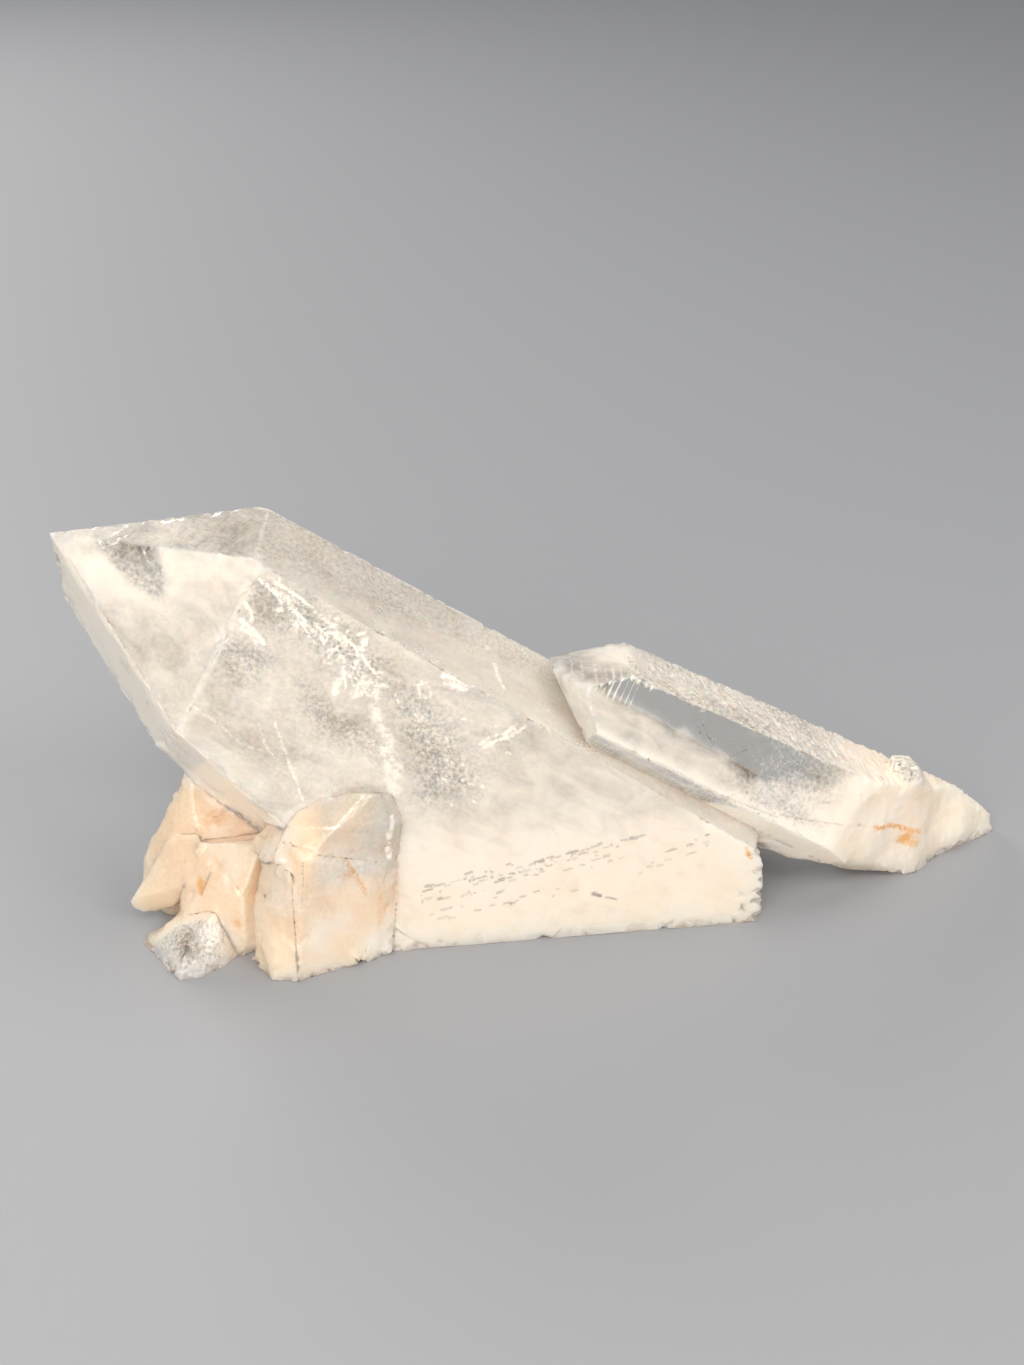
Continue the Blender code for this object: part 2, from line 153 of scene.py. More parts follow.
# --- fractures inside a crystal: start and end (u, v, w), width mm, turn degrees
FRACTURES = (
    (MAIN, (
        (17.6, 6.3, 8.6, 26.2, 3.2, 8.2, 1.3, 30), (18.9, 6.9, 9.0, 27.0, 4.6, 8.4, 0.7, 55),
        (20.3, 6.6, 8.2, 31.5, 3.6, 7.8, 0.5, 10), (24.0, 3.9, 8.8, 32.0, 1.0, 8.0, 1.9, 35),
        (26.5, 4.3, 7.6, 32.6, 2.4, 8.9, 0.8, 70), (28.0, 1.9, 8.9, 33.0, 0.2, 8.3, 1.1, 20),
        (18.3, 2.3, 9.1, 20.9, 1.1, 9.0, 0.85, 8), (17.9, 3.9, 8.9, 18.8, 3.1, 8.6, 0.5, 20),
        (37.4, 5.2, 8.9, 39.9, 5.1, 8.8, 0.9, 12), (43.6, 1.0, 8.9, 46.4, 4.2, 8.7, 1.0, 25),
        (43.9, 2.2, 8.6, 45.6, 3.9, 8.9, 0.5, 60), (33.0, 1.2, 8.6, 36.4, -3.6, 8.2, 0.7, 40),
        (35.0, -2.4, 8.8, 38.4, -7.8, 8.3, 1.2, 30), (36.6, -4.2, 9.0, 38.2, -6.2, 8.8, 0.9, 5),
        (25.1, -5.4, 9.0, 31.0, -11.3, 8.9, 0.28, 15), (23.6, -6.2, 8.8, 27.6, -9.2, 8.8, 0.22, 60),
        (35.4, 3.3, 8.9, 36.6, 4.2, 8.8, 0.3, 40), (36.6, 2.1, 8.9, 38.2, 2.6, 8.8, 0.3, 30),
        (4.1, 1.9, 0.4, 5.9, 4.0, 1.4, 0.14, 10), (4.7, 1.5, 0.9, 6.5, 3.8, 1.9, 0.1, 10),
    )),
    (SIDE, (
        (14.3, 1.6, 4.6, 18.9, -1.7, 4.9, 0.22, 40), (21.4, 0.9, 4.8, 18.9, -1.7, 4.9, 0.18, 30),
        (25.4, -1.3, 5.0, 28.2, -0.3, 5.0, 0.8, 15), (22.0, -2.6, 4.9, 26.0, -1.6, 4.8, 0.3, 25),
        (17.0, -2.5, 5.0, 21.0, -3.3, 4.9, 0.4, 20), (27.0, 0.4, 4.6, 30.6, 1.4, 4.8, 0.3, 35),
        (26.6, -4.2, 5.3, 33.5, -2.6, 5.2, 0.12, 0),
    )),
)
# --- crowds of specks inside a crystal: middle (u, v, w), half sizes, how many
SPECKS = (
    (MAIN, (
        ((8.0, 2.2, 3.4), (2.8, 1.8, 0.5), 70), ((26.0, 3.6, 8.4), (6.0, 2.2, 0.9), 60),
        ((30.5, -3.4, 8.8), (4.0, 1.4, 0.5), 45), ((40.0, -1.8, 8.7), (5.0, 3.4, 0.6), 110),
        ((36.0, 9.0, 4.0), (16.0, 1.6, 1.2), 120), ((57.0, 0.5, 9.0), (4.0, 3.0, 0.4), 30),
    )),
    (SIDE, (
        ((19.0, -0.2, 4.6), (7.0, 1.6, 0.8), 45), ((20.0, 3.6, 2.0), (12.0, 0.8, 0.8), 60),
    )),
)

# --- iron stains: centre, half sizes (x, y, z), strength
STAINS = (
    ((-29.0, -49.3, 11.2), (3.4, 3.0, 1.6), 0.5), ((-30.0, -53.8, 6.6), (0.6, 1.5, 1.2), 0.85),
    ((-26.3, -56.3, 3.8), (1.4, 2.0, 1.2), 0.6), ((-15.6, -57.3, 10.0), (2.0, 1.5, 0.9), 0.45),
    ((-12.6, -56.0, 5.0), (0.7, 1.5, 5.0), 0.45), ((-25.0, -57.0, 7.0), (5.0, 4.0, 4.0), 0.22),
    ((39.9, -41.7, 4.4), (1.9, 2.0, 0.9), 0.85), ((42.5, -40.5, 3.8), (2.0, 2.0, 1.0), 0.3),
    ((23.3, -49.4, 7.2), (0.35, 1.0, 0.6), 0.75), ((-14.5, -51.5, 27.8), (1.0, 1.2, 0.5), 0.35),
)

# --- fine lines on a front side: half width, strength, then u and v of each point
LINES = (
    ("milk", MAIN, (
        (0.17, 1.0, 18.2, 2.3, 19.3, 2.0, 20.9, 1.2), (0.15, 0.8, 18.5, 1.6, 19.6, 1.5, 20.2, 1.0),
        (0.12, 0.9, 18.3, 2.5, 18.7, 1.5), (0.15, 1.0, 37.4, 5.3, 38.5, 5.6, 39.7, 5.3),
        (0.17, 0.9, 37.9, 4.9, 39.9, 5.0), (0.12, 0.8, 43.6, 0.8, 44.2, 1.9, 45.3, 2.8, 45.8, 3.9),
        (0.12, 0.9, 44.1, 0.7, 44.9, 1.8, 46.0, 2.9, 46.7, 4.2), (0.1, 0.7, 44.0, 1.5, 44.6, 1.1),
        (0.12, 0.7, 45.2, 2.8, 45.8, 2.4), (0.09, 0.7, 45.5, 3.6, 46.4, 3.4),
        (0.08, 0.6, 25.2, -5.4, 26.4, -6.6, 27.9, -8.2, 30.9, -11.2),
        (0.06, 0.35, 23.8, -6.0, 25.5, -7.9, 27.0, -8.6),
        (0.5, 0.45, 32.4, 1.3, 33.3, -0.6, 35.4, -2.3, 36.6, -4.4, 38.3, -6.8),
        (0.6, 0.75, 35.7, -3.3, 36.5, -4.0, 37.5, -4.6, 37.6, -5.9),
        (0.15, 1.0, 18.0, 6.5, 20.5, 5.9, 23.6, 4.6, 26.0, 3.6),
        (0.1, 1.0, 18.6, 7.0, 22.0, 6.5, 25.0, 5.6, 28.6, 4.4, 31.8, 2.7),
        (0.07, 0.8, 19.2, 6.1, 22.6, 4.7, 25.2, 3.2), (0.2, 0.7, 17.8, 3.9, 18.5, 3.4, 19.0, 2.7),
        (0.08, 0.7, 35.6, 3.5, 36.2, 4.1, 37.0, 3.7, 37.2, 2.9, 36.4, 2.6, 35.6, 3.5),
        (0.13, 0.7, 42.2, 7.6, 42.8, 6.8, 43.6, 6.3),
        (0.1, 0.25, 17.5, -7.0, 20.5, -7.6, 23.4, -8.6, 26.0, -8.2),
        (0.07, 1.0, 4.2, 1.7, 5.0, 2.8, 5.9, 4.0), (0.05, 0.9, 4.7, 1.4, 5.6, 2.6, 6.4, 3.8),
        (0.07, 0.6, 8.0, 3.2, 8.7, 2.6, 9.2, 2.4),
    )),
    ("dark_and_painted_shade", SIDE, (
        (0.05, 0.4, 26.8, -4.2, 29.5, -3.6, 32.5, -2.7, 36.0, -1.9),
        (0.05, 0.45, 4.3, -4.7, 8.6, -5.0, 13.4, -4.8, 19.8, -5.0, 26.5, -4.6),
        (0.07, 0.5, 30.2, -1.3, 30.9, -1.1), (0.11, 1.0, 11.4, -4.9, 11.6, -5.0),
    )),
)
# Marks elsewhere: half width, strength, then x, y and z of each point.
SPOTS = {
    "dark_and_painted_shade": (
        (0.16, 1.0, -23.5, -57.3, 7.6, -23.4, -57.3, 7.5),
        (0.1, 0.55, -30.0, -54.4, 5.6, -29.6, -54.1, 6.3, -28.9, -53.7, 7.9),
        (0.1, 0.5, -28.9, -49.3, 11.4, -28.2, -49.2, 11.6),
        (0.09, 0.35, -30.9, -51.6, 8.8, -31.6, -52.0, 8.0), (0.16, 0.9, 7.9, -52.1, 4.4, 8.6, -52.0, 4.1),
        (0.08, 0.8, 9.2, -51.9, 3.9, 10.2, -51.8, 3.6), (0.09, 0.6, 34.4, -45.2, 8.0, 35.9, -44.5, 7.2),
    ),
    "rust": (
        (0.24, 1.0, 36.3, -44.3, 7.0, 38.0, -42.8, 6.5, 39.8, -41.6, 5.4, 41.6, -40.5, 4.3),
        (0.5, 0.75, 39.6, -41.8, 4.2, 41.2, -41.2, 3.4),
        (0.2, 0.75, -15.6, -57.1, 11.3, -15.0, -57.1, 10.4, -14.4, -56.8, 8.9, -13.9, -56.7, 7.6),
        (0.22, 0.4, -17.4, -57.4, 10.2, -16.2, -57.3, 9.8),
        (0.1, 0.45, -16.8, -57.4, 10.0, -16.2, -57.2, 8.8, -15.9, -57.1, 8.2),
        (0.1, 0.5, -15.2, -57.1, 10.6, -14.9, -57.0, 9.4),
        (0.3, 0.6, -29.6, -54.1, 6.8, -29.9, -54.2, 5.9), (0.16, 0.9, 22.9, -49.3, 7.9, 23.5, -49.4, 6.8),
    ),
    "milk": (
        (0.3, 0.9, -11.3, -54.2, 14.3, -11.5, -54.8, 12.9, -11.8, -54.8, 10.6),
        (0.1, 0.7, -21.6, -54.6, 13.4, -19.8, -56.5, 14.5, -16.4, -57.2, 15.1, -14.0, -54.9, 17.2),
        (0.08, 0.6, -30.6, -49.2, 12.9, -29.0, -48.6, 12.8, -27.5, -50.0, 12.3),
    ),
}

# --- unevenness: stretches for noise, at a slant and upwards, then each kind's scale (features are
# about 1 / scale mm across), seed and octaves
SLANTED = np.array(((2.2, 0.6, 0.3), (-0.5, 0.35, 0.2), (0.4, -0.2, 0.5)))
UPRIGHT = (0.3, 0.3, 1.0)
UNEVEN = {
    "wave": (0.13, 1, 1), "ripple": (0.6, 2, 1), "rough": (0.9, 3, 3), "fine": (2.2, 4, 1),
    "etched": (0.22, 5, 1), "swell": (0.45, 6, 1), "broken": (0.7, 8, 3), "chipped": (0.55, 9, 2),
    "ragged": (1.0, 10, 3), "ridges": (1.3, 11, 2), "end": (1.6, 12, 3), "grainy": (1.5, 15, 3),
    "flaked": (0.32, 16, 3), "cloud": (0.1, 21, 2), "main_frost": (0.3, 22, 1), "side_frost": (0.3, 23, 1),
    "left": (0.28, 24, 1), "veil": (0.5, 25, 1), "lump": (0.5, 26, 1), "grey": (0.7, 27, 1),
    "window": (0.6, 28, 2), "patchy": (0.22, 29, 2), "base": (0.5, 31, 1), "base_fine": (1.5, 32, 1),
}
FACETS = {"leaning": (0.5, 13), "small": (1.3, 14)}

# --- where the parts of the stone begin and end, mm
SIDE_X = 2.0  # the second crystal lies right of this x
SIDE_ROOT_U = 30.0  # its root begins this far down its axis
ROOT_X = 36.0  # right of this x all that is broken is root
CLUSTER_X, CLUSTER_Z = -9.5, 19.0  # the small crystals lie left of and below these
BROKEN_X = (22.0, 28.0)  # the main crystal's broken lower end
JOINED = {
    "left": ("main_5", "main_end_5"), "back": ("main_2", "main_3", "main_4"),
    "side_tip": ("side_end_0", "side_end_1", "side_end_5"),
}
SEAM_REACH = 1.2  # how far from a seam its filling reaches
SEAM_FILL = 0.42  # how thick it is in the seam
FAR = 9.0  # far from any edge or seam
EVENING = 0.6  # share of the way to its neighbours that a point moves in a round
LEVEL_ROUNDS, ROOT_ROUNDS = 16, 30  # where the pits and grooves were, and on the root


def axes(crystal):
    """A crystal's long axis towards its tip, the way across its front face, and out of it."""
    tilt, turn, roll = (radians(angle) for angle in crystal["lie"])
    axis = Vector((cos(tilt) * cos(turn), cos(tilt) * sin(turn), sin(tilt)))
    level = Vector((0, 0, 1)).cross(axis).normalized()
    face = level * cos(roll) + axis.cross(level) * sin(roll)
    return np.array(axis), np.array(axis.cross(face)), np.array(face)


def in_crystal(crystal, spots):
    """u, v, w of each spot in a crystal's own frame."""
    axis, across, face = axes(crystal)
    from_tip = spots - np.array(crystal["tip"])
    return -from_tip @ axis, from_tip @ across, from_tip @ face


def from_crystal(crystal, u, v, w):
    axis, across, face = axes(crystal)
    return np.array(crystal["tip"]) - u * axis + v * across + w * face


def side_plane(crystal, number):
    """A point on one side face of a crystal, and the face's normal."""
    axis, across, face = axes(crystal)
    turn = radians(60 * number)
    out = face * cos(turn) + across * sin(turn)
    distance = crystal["sides"][number]
    flare = radians(crystal["flare"][number])
    shoulder = np.array(crystal["tip"]) - axis * distance * tan(radians(PYRAMID)) + out * distance
    return shoulder, out * cos(flare) + axis * sin(flare)


def end_plane(crystal, number):
    """A point on one end face of a crystal, and the face's normal."""
    axis, across, face = axes(crystal)
    turn, slope = radians(60 * number), radians(crystal["slopes"][number])
    normal = (face * cos(turn) + across * sin(turn)) * sin(slope) + axis * cos(slope)
    return np.array(crystal["tip"]) + normal * crystal["lift"][number], normal


def outside(plane, spots):
    """How far each spot is outside a plane; negative is inside."""
    point, normal = plane
    return (spots - point) @ normal


def on_front(crystal, u, v):
    """The spot of a crystal's front surface that has this u and v."""
    face = axes(crystal)[2]
    start = from_crystal(crystal, u, v, 0.0)
    planes = [plane(crystal, number) for plane in (side_plane, end_plane) for number in (0, 1, 5)]
    return start + face * min(((point - start) @ normal) / (face @ normal)
                              for point, normal in planes if face @ normal > 0.05)


def smooth(value, low, high):
    """0 below low, 1 above high, and a smooth step between; low may be the larger."""
    t = np.clip((value - low) / (high - low), 0.0, 1.0)
    return t * t * (3 - 2 * t)


def outline(across, along, corners, soft):
    """1 well inside a closed outline, 0 well outside, over a border that is soft mm wide."""
    spots = np.stack((across, along), 1)
    nearest = np.full(len(spots), 1e9)
    inside = np.zeros(len(spots), bool)
    corners = np.reshape(corners, (-1, 2))
    for a, b in zip(corners, np.roll(corners, -1, axis=0)):
        way = b - a
        t = np.clip(((spots - a) @ way) / (way @ way), 0, 1)
        nearest = np.minimum(nearest, np.linalg.norm(spots - a - t[:, None] * way, axis=1))
        crosses = (a[1] > spots[:, 1]) != (b[1] > spots[:, 1])
        if a[1] != b[1]:
            meets = a[0] + (spots[:, 1] - a[1]) / (b[1] - a[1]) * way[0]
            inside ^= crosses & (spots[:, 0] < meets)
    return smooth(np.where(inside, nearest, -nearest), -soft / 2, soft / 2)


def blob(spots, centre, half):
    """1 at the centre of an ellipsoid, fading outwards."""
    reach = np.linalg.norm((spots - np.array(centre)) / np.array(half), axis=1)
    return np.exp(-1.6 * reach * reach)


def uneven(spots, kind, where=None):
    """Noise of about -1 to 1 at each spot, of a kind in UNEVEN."""
    scale, seed, octaves = UNEVEN[kind]
    move = Vector((seed * 7.3, seed * 3.1, seed * 5.7))
    values = np.zeros(len(spots))
    places = np.arange(len(spots)) if where is None else np.flatnonzero(where)
    if octaves == 1:
        values[places] = [noise.noise(Vector(spot) + move) for spot in spots[places] * scale]
    else:
        values[places] = [noise.fractal(Vector(spot) + move, 0.8, 2.1, octaves)
                          for spot in spots[places] * scale]
    return values


def facets(spots, kind, where):
    """Small flat facets of a kind in FACETS, each leaning its own way, about -1 to 1."""
    scale, seed = FACETS[kind]
    noise.seed_set(seed)
    move = Vector((seed * 4.1, seed * 6.7, seed * 2.3))
    values = np.zeros(len(spots))
    for place in np.flatnonzero(where):
        spot = Vector(spots[place] * scale) + move
        middle = noise.voronoi(spot)[1][0]
        values[place] = (spot - middle).dot(noise.noise_vector(middle * 9.7)) * 2.0
    return values


def tree_of(spots):
    tree = kdtree.KDTree(len(spots))
    for number, spot in enumerate(spots):
        tree.insert(Vector(spot), number)
    tree.balance()
    return tree


# --- fine marks
KINDS = ("milk", "dark_and_painted_shade", "rust", "stripe")
# Rows of small pits, drawn as darkened marks whose darkness is painted shade for their hollows: start and
# end (x, z), spread in mm, how many.
PIT_ROWS = (
    ((-9.3, 5.9), (10.5, 8.9), 0.9, 46), ((-9.0, 5.0), (-1.0, 5.4), 0.3, 14),
    ((-8.9, 3.6), (6.0, 4.9), 0.7, 20), ((2.0, 8.0), (12.5, 9.9), 0.35, 26),
    ((-4.4, 6.6), (9.4, 7.9), 0.6, 24), ((12.0, 6.5), (22.0, 11.0), 1.6, 20),
)
PIT_SLANT = 0.2  # how fast each pit climbs to the right
SHARDS = 62  # white cracks in the upper front
FLECKS = 40  # short white flecks right of them
STROKES = 150  # marks on the second crystal's top


def stroke(u, v, heading, long):
    return [(u, v), (u + long * cos(heading), v + long * sin(heading))]


def crazed(dice):
    """White cracks in the upper front, strokes on the second crystal's top, and rows of small
    pits. Each is a kind, a path, a half width and a strength."""
    for _ in range(SHARDS):
        u = dice.uniform(19.0, 32.0) if dice.random() < 0.5 else dice.gauss(28.6, 1.8)
        v = 6.6 - (u - 18.0) * 0.34 + dice.gauss(0, 0.75)
        heading = -0.34 + dice.gauss(0, 0.4 if u < 25 else 1.2)
        path = [(u, v)]
        for _ in range(dice.randint(1, 3)):
            step = dice.uniform(0.25, 0.85)
            heading += dice.gauss(0, 0.45)
            u, v = u + step * cos(heading), v + step * sin(heading)
            path.append((u, v))
        width = dice.choice((0.05, 0.07, 0.1, 0.16, 0.26))
        yield "milk", [on_front(MAIN, *place) for place in path], width, dice.uniform(0.5, 1)
    for _ in range(FLECKS):
        u, v = dice.uniform(33, 47), dice.gauss(0, 2.2)
        v += 1.0 - (u - 33) * 0.25
        heading = dice.uniform(-1.2, 0.3)
        path = stroke(u, v, heading, 0.3)
        yield "milk", [on_front(MAIN, *place) for place in path], 0.06, dice.uniform(0.3, 0.9)
    for _ in range(STROKES):
        u, v = dice.uniform(8.0, 31.0), dice.uniform(3.2, 5.7)
        heading = dice.gauss(-0.35, 0.35)
        long = dice.choice((0.1, 0.2, 0.4, 0.7))
        path = stroke(u, v, heading, long)
        kind, most = dice.choice((("milk", 0.9), ("milk", 0.9), ("dark_and_painted_shade", 0.5)))
        width = dice.choice((0.06, 0.08, 0.14)) if kind == "milk" else 0.06
        yield kind, [on_front(SIDE, *place) for place in path], width, dice.uniform(0.2, most)
    point, normal = side_plane(MAIN, 0)
    for start, end, spread, count in PIT_ROWS:
        for _ in range(count):
            t = dice.random()
            x = start[0] + t * (end[0] - start[0])
            z = start[1] + t * (end[1] - start[1]) + dice.gauss(0, spread * 0.5)
            long = dice.choice((0.05, 0.1, 0.3, 0.5, 0.9))
            path = []
            for px, pz in ((x, z), (x + long, z + long * PIT_SLANT)):
                y = point[1] - ((px - point[0]) * normal[0] + (pz - point[2]) * normal[2]) / normal[1]
                path.append(np.array((px, y, pz)))
            yield "dark_and_painted_shade", path, dice.uniform(0.05, 0.1), dice.uniform(0.25, 0.75)


def growth_lines(dice):
    """Stripes across the second crystal's front and lower face."""
    across = (-1.6, -1.0, -0.4, 0.2, 0.8, 1.4, 2.0)
    for number, u in enumerate(STRIPES):
        path = [on_front(SIDE, u + dice.gauss(0, 0.03), v) for v in across]
        yield "stripe", path, 0.09 if number in (4, 5) else 0.05, dice.uniform(0.5, 1.0)
    for number in range(22):
        u = 0.8 + number * 0.36 + dice.gauss(0, 0.05)
        path = [on_front(SIDE, u, v) for v in (-3.8, -4.5, -5.2, -5.9, -6.6)]
        yield "stripe", path, 0.055, dice.uniform(0.4, 1.0)
    for u in (17.2, 17.9, 18.6):
        yield "stripe", [on_front(SIDE, u, v) for v in (-4.9, -6.3)], 0.05, 0.8


def fine_marks():
    """For each kind of mark, a tree of spots along it, their half widths and strengths."""
    dice = random.Random(7)
    lines = list(crazed(dice))
    for kind, crystal, rows in LINES:
        for half, strength, *path in rows:
            spots = [on_front(crystal, *place) for place in zip(path[::2], path[1::2])]
            lines.append((kind, spots, half, strength))
    for kind, rows in SPOTS.items():
        for half, strength, *path in rows:
            lines.append((kind, list(np.reshape(path, (-1, 3))), half, strength))
    lines += growth_lines(dice)
    found = {}
    every = []
    for kind in KINDS:
        spots, halves, strengths = [], [], []
        for _, path, half, strength in (line for line in lines if line[0] == kind):
            for a, b in zip(path, path[1:]):
                steps = max(1, int(np.linalg.norm(b - a) / MARK_STEP))
                spots += [a + (b - a) * step / steps for step in range(steps + 1)]
                halves += [half] * (steps + 1)
                strengths += [strength] * (steps + 1)
        found[kind] = (tree_of(spots), halves, strengths)
        every += spots
    found["all"] = tree_of(every)
    return found


def marked(marks, kind, spots):
    """0 to 1 at each point: how strongly a kind of mark covers it."""
    tree, halves, strengths = marks[kind]
    covered = np.zeros(len(spots))
    for place, spot in enumerate(spots):
        _, number, away = tree.find(Vector(spot))
        if away < 1.0:
            edge = halves[number] * 1.3 + 0.03
            covered[place] = strengths[number] * min(1.0, max(0.0, (edge - away) / (edge * 0.55)))
    return covered


# --- mesh
def sharp_trees(bm):
    """A tree of spots along every sharp edge, and one of those along the seams."""
    every, hollow = [], []
    for edge in bm.edges:
        if len(edge.link_faces) == 2 and edge.calc_face_angle() > SHARP:
            a, b = (vert.co for vert in edge.verts)
            steps = max(1, int((b - a).length / 0.12))
            spots = [a.lerp(b, step / steps) for step in range(steps + 1)]
            every += spots
            if not edge.is_convex and edge.calc_face_angle() > SEAM:
                hollow += spots
    return tree_of(every), tree_of(hollow)


def without_slivers(bm, height):
    """Makes every face a triangle, and takes out those thinner than height mm."""
    bmesh.ops.triangulate(bm, faces=[face for face in bm.faces if len(face.verts) > 3])
    bmesh.ops.dissolve_degenerate(bm, dist=height, edges=bm.edges)
    bmesh.ops.triangulate(bm, faces=[face for face in bm.faces if len(face.verts) > 3])


def longest(edge, most, edges, marks):
    """How long an edge may stay in a pass whose longest edge is most."""
    if most > NEAR:
        return most
    middle = (edge.verts[0].co + edge.verts[1].co) / 2
    if most == EDGE_MARK:
        return EDGE_MARK + max(0.0, marks["all"].find(middle)[2] - 0.12) * 1.1
    if middle.x > ROOT_FROM and most <= EDGE_FAR:
        return EDGE_ROOT
    return min(most, EDGE_NEAR + max(0.0, edges.find(middle)[2] - 0.35) * 0.45)


def refine(bm, edges, marks):
    """Splits long edges until each is about as short as its place asks for."""
    for most in EDGE_COARSE + (EDGE_FAR,) * 3 + (EDGE_MARK,) * 2:
        shortest = EDGE_MARK * 1.3 if most == EDGE_MARK else EDGE_ROOT
        wanted = []
        for edge in bm.edges:
            length = edge.calc_length()
            if length > shortest and length > longest(edge, most, edges, marks):
                wanted.append(edge)
        if not wanted:
            continue
        bmesh.ops.subdivide_edges(bm, edges=wanted, cuts=1)
        without_slivers(bm, SLIVER)
        level = [edge for edge in bm.edges
                 if len(edge.link_faces) == 2 and edge.calc_face_angle(0.0) < LEVEL]
        bmesh.ops.beautify_fill(bm, faces=bm.faces[:], edges=level, method="ANGLE")


def dense_stone(marks):
    """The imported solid's mesh in millimetres in the growth frame, with fine triangles. Also trees
    of its sharp edges and its seams."""
    bm = bmesh.new()
    bm.from_mesh(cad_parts[NODE].data)
    bmesh.ops.scale(bm, vec=(1 / MM, 1 / MM, 1 / MM), verts=bm.verts)
    bmesh.ops.translate(bm, vec=-Vector(SHIFT), verts=bm.verts)
    bmesh.ops.remove_doubles(bm, verts=bm.verts, dist=MERGE)
    bmesh.ops.dissolve_limit(bm, angle_limit=FLAT, verts=bm.verts, edges=bm.edges)
    without_slivers(bm, SLIVER_FIRST)
    edges, seams = sharp_trees(bm)
    refine(bm, edges, marks)
    bm.normal_update()
    mesh = bpy.data.meshes.new("stone")
    bm.to_mesh(mesh)
    bm.free()
    return mesh, edges, seams


def read(vertices, what):
    values = np.empty(len(vertices) * 3)
    vertices.foreach_get(what, values)
    return values.reshape(-1, 3)


def zones(spots):
    """Which part of the stone each point is on, as arrays of true or false."""
    on_main, main_end, on_side, side_end = (
        [np.abs(outside(plane(crystal, n), spots)) < ON_PLANE for n in range(6)]
        for crystal in (MAIN, SIDE) for plane in (side_plane, end_plane))
    in_side = np.max([outside(side_plane(SIDE, n), spots) for n in range(6)], axis=0) < 0.4
    in_main = np.max([outside(side_plane(MAIN, n), spots) for n in range(6)], axis=0) < 0.2
    down = in_crystal(SIDE, spots)[0] > SIDE_ROOT_U
    x, _, z = spots.T
    side = in_side & (x > SIDE_X) & ~(in_main & np.any(on_main, axis=0))
    side &= np.any(on_side, axis=0) | np.any(side_end, axis=0) | down
    root = side & ~np.any(on_side, axis=0) & down
    root |= (x > ROOT_X) & ~np.any(on_side, axis=0)
    main = ~side & ~root & in_main & (np.any(on_main, axis=0) | np.any(main_end, axis=0))
    rest = ~main & ~side & ~root
    cluster = rest & (x < CLUSTER_X) & (z < CLUSTER_Z)
    broken = rest & ~cluster & (x > BROKEN_X[0]) & (x < BROKEN_X[1])
    found = {"bottom": z < 0.02, "side": side, "root": root, "main": main, "cluster": cluster,
             "broken": broken}
    for n in range(6):
        found[f"main_{n}"] = main & on_main[n]
        found[f"main_end_{n}"] = main & main_end[n]
        found[f"side_{n}"] = side & on_side[n]
        found[f"side_end_{n}"] = side & side_end[n] & ~on_side[n]
    for area, names in JOINED.items():
        found[area] = np.any([found[name] for name in names], axis=0)
    return SimpleNamespace(**found)


def surface(spots, zone, near_edge):
    """How far each point moves out, mm: the number before each kind of unevenness is its depth."""
    z = spots[:, 2]
    cluster, root, broken, second_top = zone.cluster, zone.root, zone.broken, zone.side_1
    down = in_crystal(SIDE, spots)[0]
    out = 0.03 * uneven(spots, "wave") + 0.01 * uneven(spots, "ripple")
    etched = zone.main_1 | second_top
    grown = cluster | root
    rough = uneven(spots, "rough", etched | grown)
    fine = uneven(spots, "fine", etched | grown | broken | (near_edge < 0.5))
    out += etched * (0.04 * rough + 0.02 * fine) * smooth(uneven(spots, "etched", etched), -0.3, 0.3)
    ridges = smooth(uneven(spots @ SLANTED.T, "ridges", second_top), -0.1, 0.4)
    out -= second_top * 0.15 * ridges * smooth(down, 6, 12)
    leaning = facets(spots, "leaning", grown)
    small = facets(spots, "small", grown)
    out += cluster * (0.06 * uneven(spots, "swell", cluster) + 0.02 * rough)
    out += cluster * (0.11 * leaning + 0.03 * small)
    keep = 0.3 + 0.7 * smooth(near_edge, 0.0, 0.8)
    grainy = 0.03 * rough + 0.07 * uneven(spots, "grainy", root)
    out += root * smooth(down, 29, 37) * (keep * (0.03 * leaning + 0.03 * small) + grainy)
    out += broken * (0.3 * uneven(spots, "broken", broken) + 0.06 * fine)
    # Worn and chipped edges.
    worn = smooth(near_edge, 0.42, 0.0)
    chipped = smooth(uneven(spots, "chipped", near_edge < 1.0), 0.18, 0.55)
    sharp_part = ~(root | broken)
    out -= sharp_part * worn * (0.035 + 0.02 * fine)
    out -= sharp_part * smooth(near_edge, 0.9, 0.0) * chipped * 0.16
    flaked = smooth(uneven(spots, "flaked", zone.left), -0.15, 0.35)
    out -= zone.left * smooth(near_edge, 1.1, 0.0) * flaked * 0.3
    # The ragged break along the table.
    low = smooth(z, 1.1, 0.0) * (1 - zone.bottom)
    ragged = smooth(uneven(spots, "ragged", low > 0), -0.1, 0.5)
    out -= low * (0.02 + 0.42 * ragged)
    return out


def soften(spots, zone):
    """Adds soft-edged areas, 0 to 1 at each point."""
    x, y, z = spots.T
    u, v, _ = in_crystal(MAIN, spots)
    down, across, _ = in_crystal(SIDE, spots)
    blur = 0.5 * uneven(spots, "window", zone.side)
    window = outline(down, across + blur * smooth(down, 4, 14), SIDE_WINDOW, 2.2)
    lump = smooth(y + 0.8 * uneven(spots, "lump"), -54.6, -56.0) * smooth(x, -26.6, -28.0)
    zone.cloud = uneven(spots, "cloud")
    zone.shade = smooth(u - 1.2 * v, 4, 16)  # the tip, away from its left edge
    zone.window = window * (1 - 0.3 * smooth(down, 17, 27))
    zone.to_root = smooth(down, 27, 36) * zone.side
    zone.top = smooth(z, 7.5, 11.0) * smooth(x, -20.0, -17.0)  # of the small crystals
    zone.lump = lump * smooth(z, 5.0, 3.6)  # their clear lower left end
    zone.splinter = smooth(z, 10.2, 10.9) * smooth(x, 37.4, 38.4) * zone.root


